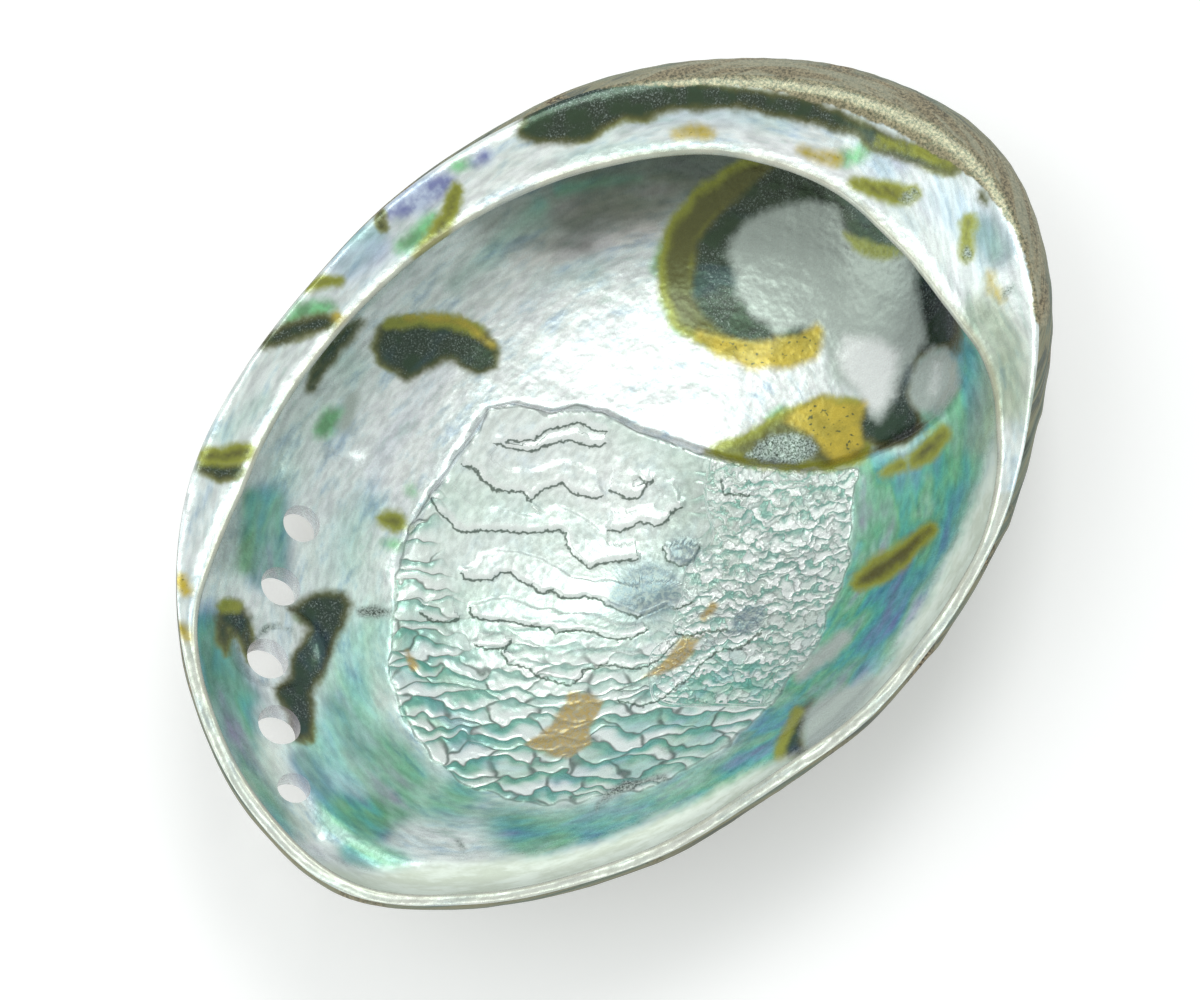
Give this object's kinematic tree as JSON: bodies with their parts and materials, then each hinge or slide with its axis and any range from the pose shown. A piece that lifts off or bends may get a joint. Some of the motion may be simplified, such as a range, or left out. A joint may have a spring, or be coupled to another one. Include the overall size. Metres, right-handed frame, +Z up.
{
  "type": "abalone shell",
  "caption": "Polished abalone shell lying on its back: an oval nacre bowl with a rolled margin plate, a muscle scar and a row of open breathing holes.",
  "frame": {"origin": "under the middle of the shell's box, on the surface that its convex back rests on", "axes": "+X along the shell towards the spire end, +Y towards the rolled margin plate, +Z up out of the bowl"},
  "size_m": [0.1539, 0.1069, 0.0332],
  "materials": {
    "nacre": null
  },
  "bodies": {
    "root": {"abalone_shell": "nacre"}
  },
  "joints": []
}
